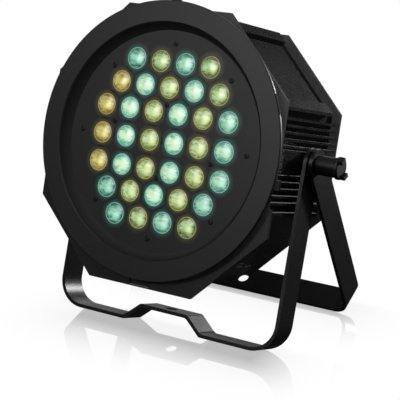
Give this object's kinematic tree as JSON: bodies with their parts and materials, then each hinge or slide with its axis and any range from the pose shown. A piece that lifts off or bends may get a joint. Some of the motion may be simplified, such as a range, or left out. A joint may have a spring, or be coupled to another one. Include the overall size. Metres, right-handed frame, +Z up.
{
  "type": "par can light",
  "caption": "Flat eight-sided stage flood light with a round panel of coloured lensed LEDs, two flat-bar yokes on a shared pivot and clamping knobs.",
  "frame": {"origin": "on the floor under the middle of the object's bounding box, standing on its two yokes", "axes": "+X along the pivot towards the right-hand knob, -Y the way the LEDs face, +Z up"},
  "size_m": [0.2694, 0.1828, 0.2773],
  "materials": {
    "black_paint": "satin black powder coat",
    "black_cast": "satin black paint on a thin-walled casting",
    "black_sheet": "satin black powder coat on sheet",
    "black_plastic": "moulded, slightly glossy",
    "cyan_lens": "clear moulded, lit from behind",
    "amber_lens": "clear moulded, lit from behind",
    "steel_zinc": "zinc plated",
    "black_steel": "black oxide",
    "spring_steel": "dark spring steel",
    "aluminium_raw": "extruded, plain",
    "board_white": "white solder mask",
    "board_green": "green solder mask",
    "emitter": "phosphor",
    "window": "dark tinted window",
    "component_black": "moulded epoxy",
    "copper_wound": "varnished windings",
    "sleeve_blue": "shrink sleeve",
    "brass": "machined",
    "contact": "nickel plated",
    "lead_red": "wire insulation",
    "lead_brown": "wire insulation",
    "lead_grey": "wire insulation",
    "fuse_glass": "glass tube with metal ends",
    "knob_plastic": "moulded black"
  },
  "bodies": {
    "head": {"front_ring": "black_sheet", "ring_clips": "spring_steel", "clip_screws": "black_steel", "front_flange": "black_sheet", "flange_screws": "black_steel", "led_plate": "black_sheet", "plate_screws": "black_steel", "lenses_cyan": "cyan_lens", "lenses_amber": "amber_lens", "lens_holders": "black_plastic", "led_board": "board_white", "led_emitters": "emitter", "plate_spacers": "brass", "heat_sink": "aluminium_raw", "sink_brackets": "steel_zinc", "bracket_screws": "steel_zinc", "housing": "black_cast", "rear_cover": "black_sheet", "rear_cover_screws": "black_steel", "display_window": "window", "display_module": "component_black", "control_board": "board_green", "control_posts": "brass", "key_switches": "component_black", "control_chip": "component_black", "data_in_socket": "black_plastic", "data_in_pins": "contact", "data_out_socket": "black_plastic", "data_out_insert": "component_black", "socket_screws": "black_steel", "mains_inlet": "black_plastic", "mains_pins": "contact", "inlet_screws": "black_steel", "fuse_holder": "black_plastic", "glass_fuse": "fuse_glass", "safety_eye": "black_steel", "eye_screws": "black_steel", "power_board": "board_green", "power_posts": "brass", "transformer": "copper_wound", "bulk_capacitors": "sleeve_blue", "driver_transistors": "component_black", "mains_leads": "lead_brown", "led_leads": "lead_red", "data_leads": "lead_grey", "pivot_bolts": "steel_zinc", "inner_washers": "black_steel"},
    "front_yoke": {"front_yoke": "black_paint", "middle_washers": "black_steel"},
    "rear_yoke": {"rear_yoke": "black_paint"},
    "right_knob": {"right_knob": "knob_plastic", "right_knob_insert": "brass"},
    "left_knob": {"left_knob": "knob_plastic", "left_knob_insert": "brass"},
    "enter_button": {"enter_button": "black_plastic"},
    "up_button": {"up_button": "black_plastic"},
    "down_button": {"down_button": "black_plastic"},
    "menu_button": {"menu_button": "black_plastic"},
    "data_out_latch": {"data_out_latch": "steel_zinc"},
    "fuse_cap": {"fuse_cap": "black_plastic"}
  },
  "joints": [
    {"name": "front_yoke_pivot", "type": "hinge", "parent": "head", "child": "front_yoke", "pos_m": [0, 0.00384, 0.15061], "axis": [1, 0, 0], "range_deg": [-30, 180]},
    {"name": "rear_yoke_pivot", "type": "hinge", "parent": "head", "child": "rear_yoke", "pos_m": [0, 0.00384, 0.15061], "axis": [1, 0, 0], "range_deg": [-95, 150]},
    {"name": "right_knob_turn", "type": "hinge", "parent": "head", "child": "right_knob", "pos_m": [0.12, 0.00384, 0.15061], "axis": [1, 0, 0], "range_deg": [0, 360]},
    {"name": "left_knob_turn", "type": "hinge", "parent": "head", "child": "left_knob", "pos_m": [-0.12, 0.00384, 0.15061], "axis": [-1, 0, 0], "range_deg": [0, 360]},
    {"name": "enter_button_press", "type": "slide", "parent": "head", "child": "enter_button", "axis": [0, -0.9608, 0.2773], "range_m": [0, 0.0005], "stiffness_N_per_m": 800, "springref_m": -0.0005},
    {"name": "up_button_press", "type": "slide", "parent": "head", "child": "up_button", "axis": [0, -0.9608, 0.2773], "range_m": [0, 0.0005], "stiffness_N_per_m": 800, "springref_m": -0.0005},
    {"name": "down_button_press", "type": "slide", "parent": "head", "child": "down_button", "axis": [0, -0.9608, 0.2773], "range_m": [0, 0.0005], "stiffness_N_per_m": 800, "springref_m": -0.0005},
    {"name": "menu_button_press", "type": "slide", "parent": "head", "child": "menu_button", "axis": [0, -0.9608, 0.2773], "range_m": [0, 0.0005], "stiffness_N_per_m": 800, "springref_m": -0.0005},
    {"name": "data_latch_press", "type": "slide", "parent": "head", "child": "data_out_latch", "axis": [0, -0.9608, 0.2773], "range_m": [0, 0.001], "stiffness_N_per_m": 600, "springref_m": -0.0008},
    {"name": "fuse_cap_turn", "type": "hinge", "parent": "head", "child": "fuse_cap", "pos_m": [0.046, 0.03851, 0.07347], "axis": [0, 0.9608, -0.2773], "range_deg": [0, 90]}
  ]
}
